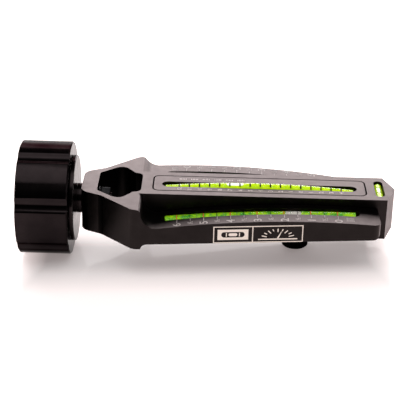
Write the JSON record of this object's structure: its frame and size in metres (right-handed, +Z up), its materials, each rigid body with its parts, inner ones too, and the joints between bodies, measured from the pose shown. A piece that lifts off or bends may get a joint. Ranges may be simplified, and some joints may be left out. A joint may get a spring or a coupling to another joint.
{
  "type": "camber gauge",
  "caption": "Black machined camber and castor gauge with curved green vials on its wings, a rocking castor vial, a cross level, an adjusting knob and a fluted magnet adaptor.",
  "frame": {"origin": "middle of the gauge's bounding box, level with the lowest point of the adaptor", "axes": "+X from the magnet face along the body to its pointed end, +Z up out of the vials' tops, +Y towards the far wing"},
  "size_m": [0.2212, 0.0768, 0.0671],
  "materials": {
    "black_anodised": "satin",
    "black_steel": "satin",
    "bright_steel": "satin",
    "spring_steel": "satin",
    "brass": "satin",
    "nickel_magnet": "satin",
    "clear_acrylic": "gloss",
    "green_liquid": "gloss",
    "yellow_liquid": "gloss"
  },
  "bodies": {
    "gauge": {"gauge_body": "black_anodised", "spindle_bush": "brass", "pivot_block": "bright_steel", "pivot_block_screw": "black_steel", "carrier_spring": "spring_steel", "near_vial_tube": "clear_acrylic", "near_vial_liquid": "green_liquid", "near_vial_plug_1": "green_liquid", "near_vial_plug_2": "green_liquid", "near_vial_grub_1": "black_steel", "near_vial_grub_2": "black_steel", "far_vial_tube": "clear_acrylic", "far_vial_liquid": "green_liquid", "far_vial_plug_1": "green_liquid", "far_vial_plug_2": "green_liquid", "far_vial_grub_1": "black_steel", "far_vial_grub_2": "black_steel", "level_vial_tube": "clear_acrylic", "level_vial_liquid": "yellow_liquid", "level_vial_plug_1": "yellow_liquid", "level_vial_plug_2": "yellow_liquid"},
    "carrier": {"castor_carrier": "black_anodised", "carrier_pivot_pin": "bright_steel", "carrier_nut": "brass", "castor_vial_tube": "clear_acrylic", "castor_vial_liquid": "yellow_liquid", "castor_vial_plug_1": "yellow_liquid", "castor_vial_plug_2": "yellow_liquid", "castor_vial_grub_1": "black_steel", "castor_vial_grub_2": "black_steel"},
    "knob": {"adjusting_knob": "black_anodised", "adjusting_screw": "bright_steel", "knob_washer": "bright_steel", "screw_clip": "spring_steel"},
    "adaptor": {"adaptor_housing": "black_anodised", "adaptor_spindle": "black_anodised", "spindle_washer": "spring_steel", "spindle_nut": "black_steel", "magnet_ring": "nickel_magnet", "magnet_backplate": "bright_steel", "magnet_screw_1": "black_steel", "magnet_screw_2": "black_steel", "magnet_screw_3": "black_steel", "flange_screw_1": "black_steel", "flange_screw_2": "black_steel", "flange_screw_3": "black_steel"}
  },
  "joints": [
    {"name": "adaptor_swivel", "type": "hinge", "parent": "gauge", "child": "adaptor", "pos_m": [-0.07415, 0, 0.03347], "axis": [1, 0, 0], "continuous": true},
    {"name": "knob_turn", "type": "hinge", "parent": "gauge", "child": "knob", "pos_m": [0.05315, 0, 0.01967], "axis": [0, 0, 1], "range_deg": [-720, 720]},
    {"name": "carrier_tilt", "type": "hinge", "parent": "gauge", "child": "carrier", "pos_m": [-0.02415, 0, 0.02917], "axis": [0, 1, 0], "range_deg": [-1.5, 1.5], "deforming": ["carrier_spring"]}
  ],
  "couplings": [
    {"joint": "carrier_tilt", "follows": "knob_turn", "ratio": 0.0020589}
  ]
}
